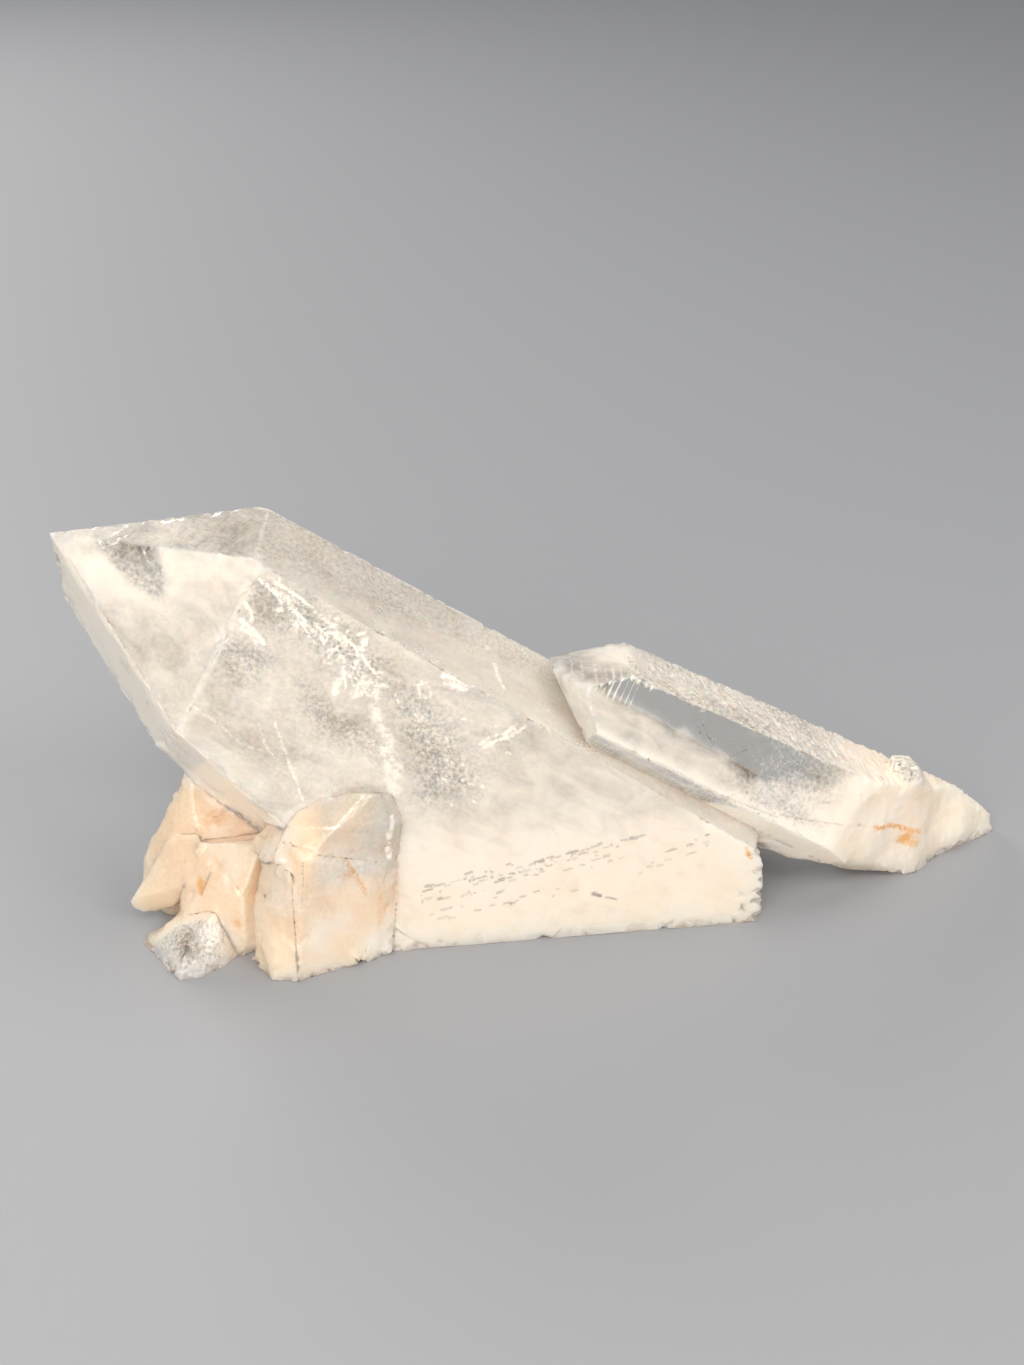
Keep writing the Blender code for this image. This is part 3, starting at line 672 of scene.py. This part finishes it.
def clearness(spots, zone):
    """How clear each point is, and how much of that is speckled."""
    x, _, z = spots.T
    u, v, w = in_crystal(MAIN, spots)
    down, across, _ = in_crystal(SIDE, spots)
    ripple = 0.9 * uneven(spots, "veil")
    clearer = np.max([outline(u + ripple, v - ripple, corners, 3.2) for corners in CLEARER], axis=0)
    upper = outline(u, v, UPPER_FRONT, 6.0)
    middle = smooth(z, 8, 15) * (0.24 + 0.07 * smooth(x, -5, 6))
    tip = outline(u, v, TIP_WINDOW, 0.9)
    corner = smooth(outside(end_plane(MAIN, 1), spots), -3.4, 0.2)
    inner = smooth(v, 7.3, 8.8) * smooth(w, 1.0, 3.6)
    rim = smooth(w, 2.4, -0.4)
    strip = outline(down, across, SIDE_STRIP, 0.5)
    # Each area, how clear and how speckled it is; a later row covers an earlier one.
    rows = (
        ("main_0", 0.08 + middle + 0.1 * upper + 0.15 * clearer + 0.1 * zone.cloud * upper,
         0.16 * upper + 0.34 * clearer),
        ("main_end_0", 0.08 + 0.34 * zone.shade + 0.24 * corner + 0.34 * tip,
         0.1 * zone.shade + 0.35 * tip),
        ("main_end_1", 0.34 + 0.26 * smooth(u, 2, 6) + 0.12 * zone.cloud, 0.15),
        ("main_1", 0.5 + 0.06 * inner - 0.2 * rim - 0.12 * smooth(u, 28, 46), 0.07 + 0.18 * inner),
        ("left", 0.06 + 0.35 * uneven(spots, "left"), 0.3),
        ("back", 0.22 + 0.25 * zone.cloud, 0.22),
        ("side", 0.95, 0.0),
        ("side_0", 0.42 + 0.56 * zone.window - 0.3 * smooth(across, -3.6, -5.0),
         0.45 * smooth(down, 16, 26)),
        ("side_5", 0.08 + 0.5 * strip, 0.35 * smooth(down, 8, 22)),
        ("side_1", 0.42, 0.7),
        ("cluster", 0.14 + 0.12 * zone.cloud + 0.26 * zone.top + 0.08 * smooth(z, 4, 7), 0.1),
    )
    clear = np.full(len(spots), 0.3) + 0.1 * zone.cloud
    haze = np.zeros(len(spots))
    for area, how_clear, how_hazy in rows:
        clear = np.where(getattr(zone, area), how_clear, clear)
        haze = np.where(getattr(zone, area), how_hazy, haze)
    clear = np.where(zone.side_tip, 0.4 + 0.25 * zone.window, clear)
    clear = clear * (1 - zone.to_root) + 0.03 * zone.to_root
    clear = np.where(zone.root | zone.broken, 0.03, clear)
    grey = blob(spots + 0.5 * uneven(spots, "grey")[:, None], (-30.6, -58.0, 2.4), (1.9, 2.0, 1.9))
    lump = zone.cluster * zone.lump
    clear = np.maximum(clear, lump * (0.42 + 0.38 * grey))
    haze = np.maximum(haze, lump * 0.5) * (1 - zone.to_root)
    # A clearer chip stands on the root's top.
    return clear * (1 - zone.splinter) + 0.34 * zone.splinter, haze + 0.9 * zone.splinter


def frosting(spots, zone):
    """How matt each point is."""
    frost = np.full(len(spots), 0.14) + 0.1 * zone.cloud
    rows = (
        (zone.main_1, 0.3 + 0.3 * uneven(spots, "main_frost")),
        (zone.side_1, 0.5 + 0.3 * uneven(spots, "side_frost")),
        (zone.side_0 | zone.side_5, 0.05),
        (zone.cluster, 0.22 + 0.2 * zone.cloud + 0.15 * zone.lump),
    )
    for where, value in rows:
        frost = np.where(where, value, frost)
    frost = np.maximum(frost, smooth(spots[:, 2], 2.2, 0.2) * 0.7)
    frost = np.maximum(frost, zone.to_root * 0.75)
    return np.where(zone.root | zone.broken, 0.85, frost)


def warmth(spots, zone):
    """How strongly each point is tinted peach."""
    x, y, z = spots.T
    warm = 0.16 + 0.2 * smooth(z, 14, 0) + 0.08 * zone.cloud
    patchy = uneven(spots, "patchy", zone.cluster)
    clump = 0.56 + 0.4 * patchy - 0.24 * zone.top + 0.14 * smooth(x, -20, -26)
    warm = np.where(zone.cluster, clump, warm)
    warm *= 1 - 0.6 * zone.lump
    warm = warm - zone.cluster * 0.25 * smooth(y, -50.0, -46.0)
    warm = np.where(zone.root, 0.26 + 0.2 * zone.cloud, warm)
    return np.where(zone.side, warm * 0.35 + 0.3 * zone.to_root, warm)


def looks(spots, zone):
    """Values at each point that the material reads, 0 to 1."""
    z = spots[:, 2]
    across = in_crystal(SIDE, spots)[1]
    soften(spots, zone)
    clear, haze = clearness(spots, zone)
    stain = np.max([strength * blob(spots, *place) for *place, strength in STAINS], axis=0)
    etch = zone.main_1 * 0.6 + zone.side_1 * 1.8 + zone.main_end_1 * 0.25
    etch = etch + zone.main_0 * 0.12 + zone.cluster * 0.2
    stria = zone.side_5 * 0.6 + zone.side_tip * 0.2 + zone.main_0 * 0.06
    stria = stria + zone.main_1 * 0.15 + zone.back * 0.5
    # Painted fill light: this share is raised where faces turn away from the lamps or lie low and would
    # render darker, such as the root, the left strip and the small crystals' lower part; on the root it is
    # partly its own light tone.
    pale_and_painted_light = zone.root * (1.0 - zone.splinter) + zone.to_root * 0.8
    pale_and_painted_light = pale_and_painted_light + zone.left * 0.9 + zone.back * 0.9
    pale_and_painted_light = pale_and_painted_light + zone.cluster * (0.2 + 0.6 * smooth(z, 6.0, 1.0)) + zone.side_5 * 0.9
    pale_and_painted_light = pale_and_painted_light + zone.side_0 * 0.5 * smooth(across, -3.0, -5.0)
    pale_and_painted_light = pale_and_painted_light + zone.main_end_0 * 0.6 * (1 - zone.shade)
    return {
        "clear": clear, "haze": haze, "stain": stain, "etch": etch, "stria": stria, "pale_and_painted_light": pale_and_painted_light,
        "frost": frosting(spots, zone), "warm": warmth(spots, zone),
        "wispy": 0.8 - 0.6 * zone.cluster - 0.45 * zone.main_1,
    }


def give(mesh, values):
    """Stores values at the mesh's points, cut to 0 to 1."""
    for name, numbers in values.items():
        layer = mesh.attributes.new(name, "FLOAT", "POINT")
        layer.data.foreach_set("value", np.clip(numbers, 0, 1).astype(np.float32))


def shallow(spots):
    """Raises the solid's plain pits and grooves to their faces, because fine marks take their
    place. It also gives where on the two faces they were."""
    x, _, z = spots.T
    depth = -outside(side_plane(MAIN, 0), spots)
    pitted = (depth > -0.02) & (depth < 0.45) & (x > -10.3) & (x < 14) & (z > 2.6) & (z < 12.0)
    spots = spots + np.outer(pitted * np.maximum(depth, 0), side_plane(MAIN, 0)[1])
    down = in_crystal(SIDE, spots)[0]
    others = [outside(side_plane(SIDE, n), spots) for n in (1, 5)]
    others += [outside(end_plane(SIDE, n), spots) for n in (0, 1, 5)]
    inner = np.max(others, axis=0) < -0.02
    depth = -outside(side_plane(SIDE, 0), spots)
    grooved = inner & (depth > -0.02) & (depth < 0.35) & (down > 3.0) & (down < 9.8)
    spots = spots + np.outer(grooved * np.maximum(depth, 0), side_plane(SIDE, 0)[1])
    return spots, pitted, grooved


def evened(mesh, spots, amount, rounds):
    """Evens out the surface where amount is over 0."""
    ends = np.empty(len(mesh.edges) * 2, np.int32)
    mesh.edges.foreach_get("vertices", ends)
    a, b = ends.reshape(-1, 2).T
    here, there = np.concatenate((a, b)), np.concatenate((b, a))
    count = np.bincount(here, minlength=len(spots))
    for _ in range(rounds):
        total = np.stack([np.bincount(here, line[there], len(spots)) for line in spots.T], 1)
        spots = spots + (amount * EVENING)[:, None] * (total / count[:, None] - spots)
    return spots


def distances(spots, zone, level, edges, seams):
    """How far each point is from an edge that is worn, and from a seam, mm."""
    near_edge = np.array([edges.find(Vector(spot))[2] for spot in spots])
    near_edge[level] = FAR
    near_seam = np.full(len(spots), FAR)
    for place in np.flatnonzero((near_edge < 1.3) | zone.cluster):
        near_seam[place] = seams.find(Vector(spots[place]))[2]
    near_edge[near_seam < near_edge + 0.05] = FAR
    return near_edge, near_seam


def seam_filling(spots, zone, near_seam):
    """How far each point moves out to fill the hollows between the crystals, mm."""
    x, _, z = spots.T
    clump = zone.main * smooth(x, -6.0, -9.5) * smooth(z, 20.0, 16.0) * smooth(z, 0.5, 3.0)
    clump = np.maximum(clump, zone.cluster)
    return clump * SEAM_FILL * np.clip(1.0 - near_seam / SEAM_REACH, 0, 1) ** 2


def moved_out(spots, normals, out, zone):
    """Each point moved out by its own distance, and none of them below the table."""
    x, _, z = spots.T
    moved = spots + normals * out[:, None]
    # The main crystal's broken lower end is ragged from the front too.
    end = smooth(x, 20.5, 23.5) * smooth(z, 8.0, 6.5) * (x < 27)
    moved[:, 0] -= end * 0.75 * smooth(uneven(spots * UPRIGHT, "end", end > 0), -0.2, 0.5)
    lifted = 0.05 + 0.05 * uneven(spots, "base") + 0.04 * uneven(spots, "base_fine")
    moved[:, 2] = np.maximum(np.where(zone.bottom, lifted, moved[:, 2]), 0.0)
    return moved


def linked(name, data):
    piece = bpy.data.objects.new(name, data)
    bpy.context.scene.collection.objects.link(piece)
    return piece


def dress_stone():
    """The stone with its fine surface and its looks."""
    marks = fine_marks()
    mesh, edges, seams = dense_stone(marks)
    spots, pitted, grooved = shallow(read(mesh.vertices, "co"))
    level = pitted | grooved
    spots = evened(mesh, spots, 1.0 * level, LEVEL_ROUNDS)
    normals = read(mesh.vertices, "normal")
    normals[pitted] = side_plane(MAIN, 0)[1]
    normals[grooved] = side_plane(SIDE, 0)[1]
    zone = zones(spots)
    near_edge, near_seam = distances(spots, zone, level, edges, seams)
    values = looks(spots, zone)
    values.update({kind: marked(marks, kind, spots) for kind in KINDS})
    # Marks of this kind are dented a little; their darkness is painted shade for the pits' hollows.
    out = surface(spots, zone, near_edge) - 0.015 * values["dark_and_painted_shade"]
    soft = zone.root * smooth(in_crystal(SIDE, spots)[0], 29, 34) * smooth(spots[:, 2], 0.2, 1.2)
    soft *= 1 - smooth(spots[:, 2], 9.8, 10.6)
    spots = evened(mesh, spots, soft, ROOT_ROUNDS)
    out += seam_filling(spots, zone, near_seam)
    moved = moved_out(spots, normals, out, zone)
    mesh.vertices.foreach_set("co", ((moved + SHIFT) * MM).ravel())
    mesh.polygons.foreach_set("use_smooth", [True] * len(mesh.polygons))
    mesh.update()
    mesh.set_sharp_from_angle(angle=CREASE)
    give(mesh, values)
    mesh.materials.append(quartz_material())
    stone = linked("stone", mesh)
    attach(stone, "root")
    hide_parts(NODE)


# --- flaws inside
FLAKE_HALF = 0.025  # half the thickness of a flake, mm
FLAKE_STEP = 0.28  # how far apart its rings of corners are, mm
SHARD_FLAKES = 26  # small flakes behind the upper front's white cracks
GRAIN_SIZES = (0.05, 0.07, 0.09, 0.16)  # mm


def sliver(bm, crystal, start, end, width, turn, dice):
    """A closed, thin, ragged flake from start to end."""
    a, b = (from_crystal(crystal, *place) for place in (start, end))
    length = np.linalg.norm(b - a)
    way = (b - a) / length
    side = np.cross(way, axes(crystal)[2])
    side /= np.linalg.norm(side)
    out = np.cross(side, way)
    flat = side * cos(radians(turn)) + out * sin(radians(turn))
    thick = np.cross(way, flat)
    rows = max(5, int(length / FLAKE_STEP))
    bend = dice.uniform(-0.12, 0.12) * length
    rings = []
    for row in range(rows + 1):
        t = row / rows
        half = width / 2 * max(0.12, sin(pi * t) ** 0.4)
        swerve = bend * sin(pi * t) + dice.uniform(-0.16, 0.16) * width
        middle = a + way * length * t + flat * swerve
        middle = middle + thick * dice.uniform(-0.1, 0.1) * min(width, 1.0)
        left, right = (half * dice.uniform(0.5, 1.25) for _ in range(2))
        ring = (middle + flat * right, middle + thick * FLAKE_HALF,
                middle - flat * left, middle - thick * FLAKE_HALF)
        rings.append([bm.verts.new((spot + SHIFT) * MM) for spot in ring])
    for one, two in zip(rings, rings[1:]):
        for k in range(4):
            bm.faces.new((one[k], one[(k + 1) % 4], two[(k + 1) % 4], two[k]))
    bm.faces.new(rings[0][::-1])
    bm.faces.new(rings[-1])


def speck(bm, place, size, dice):
    """A closed, uneven eight-sided grain."""
    ways = [Vector((dice.gauss(0, 1), dice.gauss(0, 1), dice.gauss(0, 1))).normalized()]
    ways.append(ways[0].orthogonal().normalized())
    ways.append(ways[0].cross(ways[1]))
    ends = [[bm.verts.new((Vector(place + SHIFT) + way * sign * size * dice.uniform(0.35, 1.0)) * MM)
             for sign in (1, -1)] for way in ways]
    for i in (0, 1):
        for j in (0, 1):
            for k in (0, 1):
                corners = (ends[0][i], ends[1][j], ends[2][k])
                bm.faces.new(corners if (i + j + k) % 2 == 0 else corners[::-1])


def within(crystal, spot):
    """Whether a spot lies inside a crystal, well away from its faces."""
    faces = [plane(crystal, number) for plane in (side_plane, end_plane) for number in range(6)]
    return all((spot - point) @ normal < -DEEP for point, normal in faces)


def inner_piece(name, bm, material):
    """A piece that lies inside the stone."""
    mesh = bpy.data.meshes.new(name)
    bmesh.ops.recalc_face_normals(bm, faces=bm.faces)
    bm.to_mesh(mesh)
    bm.free()
    mesh.materials.append(material)
    piece = linked(name, mesh)
    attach(piece, "root")


def flaws():
    """The fractures and the specks."""
    dice = random.Random(41)
    material = flaw_material()
    bm = bmesh.new()
    for crystal, rows in FRACTURES:
        for *ends, width, turn in rows:
            sliver(bm, crystal, ends[:3], ends[3:], width, turn, dice)
    for _ in range(SHARD_FLAKES):
        u, v, w = dice.uniform(24.5, 32.5), dice.gauss(0, 0.9), dice.uniform(7.6, 9.0)
        v += 4.6 - (u - 24.5) * 0.42
        long, angle = dice.uniform(0.5, 2.0), dice.uniform(-2.2, 0.6)
        end = (u + long * cos(angle), v + long * sin(angle), w + dice.uniform(-0.4, 0.2))
        sliver(bm, MAIN, (u, v, w), end, dice.uniform(0.12, 0.42), dice.uniform(0, 80), dice)
    inner_piece("fractures", bm, material)
    bm = bmesh.new()
    for crystal, crowds in SPECKS:
        for middle, half, count in crowds:
            for _ in range(count):
                place = [m + h * max(-1.3, min(1.3, dice.gauss(0, 0.5))) for m, h in zip(middle, half)]
                spot = from_crystal(crystal, *place)
                if within(crystal, spot):
                    speck(bm, spot, dice.choice(GRAIN_SIZES), dice)
    inner_piece("specks", bm, material)


# --- materials
class Tree:
    """Short calls that add nodes to a material."""

    def __init__(self, name, settings):
        self.material = bpy.data.materials.new(name)
        self.material.use_nodes = True
        self.nodes = self.material.node_tree.nodes
        self.links = self.material.node_tree.links
        self.shader = self.nodes["Principled BSDF"]
        for name, value in settings.items():
            self.shade(name, value)

    def put(self, socket, value):
        if isinstance(value, bpy.types.NodeSocket):
            self.links.new(value, socket)
        else:
            socket.default_value = value

    def shade(self, name, value):
        self.put(self.shader.inputs[name], value)

    def add(self, kind, inputs, output=0, **settings):
        node = self.nodes.new(kind)
        for name, value in settings.items():
            setattr(node, name, value)
        for key, value in inputs.items():
            self.put(node.inputs[key], value)
        return node.outputs[output]

    def plus(self, a, b):
        return self.add("ShaderNodeMath", {0: a, 1: b, 2: 0.0}, operation="ADD")

    def times(self, first, *others):
        for other in others:
            first = self.add("ShaderNodeMath", {0: first, 1: other, 2: 0.0}, operation="MULTIPLY")
        return first

    def fit(self, value, low, high, to_low=0.0, to_high=1.0):
        return self.add("ShaderNodeMapRange", {"Value": value, "From Min": low, "From Max": high,
                                               "To Min": to_low, "To Max": to_high},
                        interpolation_type="SMOOTHSTEP")

    def noise(self, where, scale, detail=2.0, roughness=0.5, distortion=0.0):
        return self.add("ShaderNodeTexNoise", {"Vector": where, "Scale": scale, "Detail": detail,
                                               "Roughness": roughness, "Distortion": distortion})

    def value(self, name):
        return self.add("ShaderNodeAttribute", {}, output=2, attribute_name=name)

    def mix(self, share, a, b):
        return self.add("ShaderNodeMix", {0: share, 6: a, 7: b}, output=2, data_type="RGBA")

    def millimetres(self):
        place = self.add("ShaderNodeTexCoord", {}, output=3)
        return self.add("ShaderNodeVectorMath", {0: place, 3: 1 / MM}, operation="SCALE")

    def swing(self, value, middle=0.5):
        return self.plus(value, -middle)

    def rough_by(self, height, strength):
        """Bumps the surface by a height in mm."""
        bump = self.add("ShaderNodeBump", {"Strength": strength, "Distance": MM, "Height": height})
        self.shade("Normal", bump)

    def along(self, place, crystal, stretch):
        """The place in a crystal's frame, with each way scaled."""
        parts = []
        for way, by in zip(axes(crystal), stretch):
            dot = self.add("ShaderNodeVectorMath", {0: place, 1: tuple(way)}, output=1,
                           operation="DOT_PRODUCT")
            parts.append(self.times(dot, by))
        return self.add("ShaderNodeCombineXYZ", dict(enumerate(parts)))


def quartz_material():
    """Clear to milky quartz, etched and striated, with peach and rust stains."""
    t = Tree("quartz", QUARTZ)
    place = t.millimetres()
    clouds = t.noise(place, 0.28, 3.0, 0.6, 0.6)
    wisps = t.noise(t.along(place, MAIN, (0.16, 0.45, 0.45)), 1.0, 4.0, 0.62, 1.2)
    grain = t.noise(place, 5.5, 2.0, 0.6)
    grit = t.noise(place, 2.6, 2.0, 0.68)

    clear = t.plus(t.value("clear"), t.times(t.swing(clouds), t.value("wispy"), 0.55))
    clear = t.plus(clear, t.times(t.swing(wisps), t.value("wispy"), 0.6))
    clear = t.plus(clear, t.times(t.swing(grit, 0.52), t.value("haze"), 2.0))
    milk = t.times(t.value("milk"), t.fit(t.noise(place, 1.7, 2.0, 0.7), 0.36, 0.62, 0.1, 0.9))
    clear = t.plus(clear, t.times(milk, -0.85))
    stripe = t.times(t.value("stripe"), t.fit(t.value("clear"), 0.45, 0.8))
    clear = t.plus(clear, t.times(stripe, -0.5))
    see_through = t.fit(clear, 0.02, 0.98, 0.04, 0.98)
    t.shade("Transmission Weight", see_through)

    warm = t.plus(t.value("warm"), t.times(t.swing(clouds), 0.45))
    # Painted fill light: the paler colour brightens faces turned away from the lamps.
    body = t.mix(see_through, t.mix(t.value("pale_and_painted_light"), CREAM, PALE_AND_PAINTED_LIGHT), ICE)
    body = t.mix(t.fit(warm, 0.05, 0.85), body, PEACH)
    body = t.mix(t.times(milk, 0.8), body, MILK)
    veins = t.times(t.swing(t.noise(place, 0.9, 3.0, 0.65, 1.0)), 1.1)
    veins = t.fit(t.plus(t.value("stain"), veins), 0.15, 1.05)
    body = t.mix(t.times(veins, t.fit(t.value("stain"), 0.0, 0.4)), body, RUST)
    rust = t.times(t.value("rust"), t.fit(grit, 0.35, 0.6, 0.25, 0.9))
    body = t.mix(rust, body, RUST_LINE)
    # Painted shade darkens the small pits; the same colour gives the stone's own darker spots.
    body = t.mix(t.times(t.value("dark_and_painted_shade"), 0.85), body, DARK_AND_PAINTED_SHADE)
    t.shade("Base Color", body)

    frost = t.plus(t.value("frost"), t.times(t.swing(grain), 0.25))
    t.shade("Roughness", t.fit(frost, 0.0, 1.0, 0.03, 0.62))

    height = t.times(grain, t.value("frost"), 0.02)
    pits = t.times(t.fit(t.noise(place, 1.9, 2.0, 0.6), 0.42, 0.3), t.value("etch"), -0.05)
    lines = t.noise(t.along(place, SIDE, (4.5, 0.08, 0.08)), 1.0, 1.0, 0.6)
    lines = t.times(lines, t.value("stria"), 0.03)
    t.rough_by(t.plus(t.plus(height, pits), lines), 1.0)
    absorb = t.add("ShaderNodeVolumeAbsorption", ABSORPTION)
    t.put(t.nodes["Material Output"].inputs["Volume"], absorb)
    return t.material


def flaw_material():
    """White, half see-through fracture skin, brighter and duller in patches."""
    t = Tree("fracture", FLAW)
    place = t.millimetres()
    patches = t.noise(place, 1.4, 4.0, 0.6, 0.5)
    t.shade("Base Color", t.mix(patches, FLAW_DULL, FLAW_BRIGHT))
    t.shade("Transmission Weight", t.fit(patches, 0.45, 0.65, 0.05, 0.75))
    t.shade("Roughness", t.fit(t.noise(place, 3.0, 2.0), 0.3, 0.7, 0.08, 0.35))
    t.rough_by(t.times(t.noise(place, 4.0, 3.0, 0.6), 0.02), 0.6)
    return t.material


# --- floor, light and camera
def stage():
    """The floor and the light."""
    bpy.ops.mesh.primitive_plane_add(size=FLOOR_SIDE * MM)
    floor = bpy.context.object
    floor.name = "floor"
    floor.location = tuple(SHIFT * MM)
    floor.data.materials.append(Tree("pale_floor", FLOOR).material)

    world = bpy.data.worlds.new("studio")
    bpy.context.scene.world = world
    world.use_nodes = True
    back = world.node_tree.nodes["Background"]
    back.inputs["Color"].default_value = STUDIO_COLOR
    back.inputs["Strength"].default_value = STUDIO_STRENGTH

    aim = Vector(SHIFT + np.array(LAMPS_AIM)) * MM
    for name, place, size, power in LAMPS:
        data = bpy.data.lights.new(name, "AREA")
        data.shape = "DISK"
        data.size = size * MM
        data.energy = power
        data.color = LAMP_COLOR
        lamp = linked(name, data)
        lamp.location = Vector(SHIFT + np.array(place)) * MM
        lamp.rotation_euler = (aim - lamp.location).to_track_quat("-Z", "Y").to_euler()


def camera():
    data = bpy.data.cameras.new("camera")
    data.lens = CAMERA_LENS
    data.clip_start = 0.01
    data.clip_end = 10.0
    eye = linked("camera", data)
    rise = radians(CAMERA_RISE)
    away = np.array((0.0, -cos(rise), sin(rise))) * CAMERA_AWAY
    eye.location = tuple((away + SHIFT) * MM)
    eye.rotation_euler = (radians(90 - CAMERA_RISE), 0, 0)
    bpy.context.scene.camera = eye


bpy.context.scene.view_settings.view_transform = "Standard"
stage()
camera()
dress_stone()
flaws()
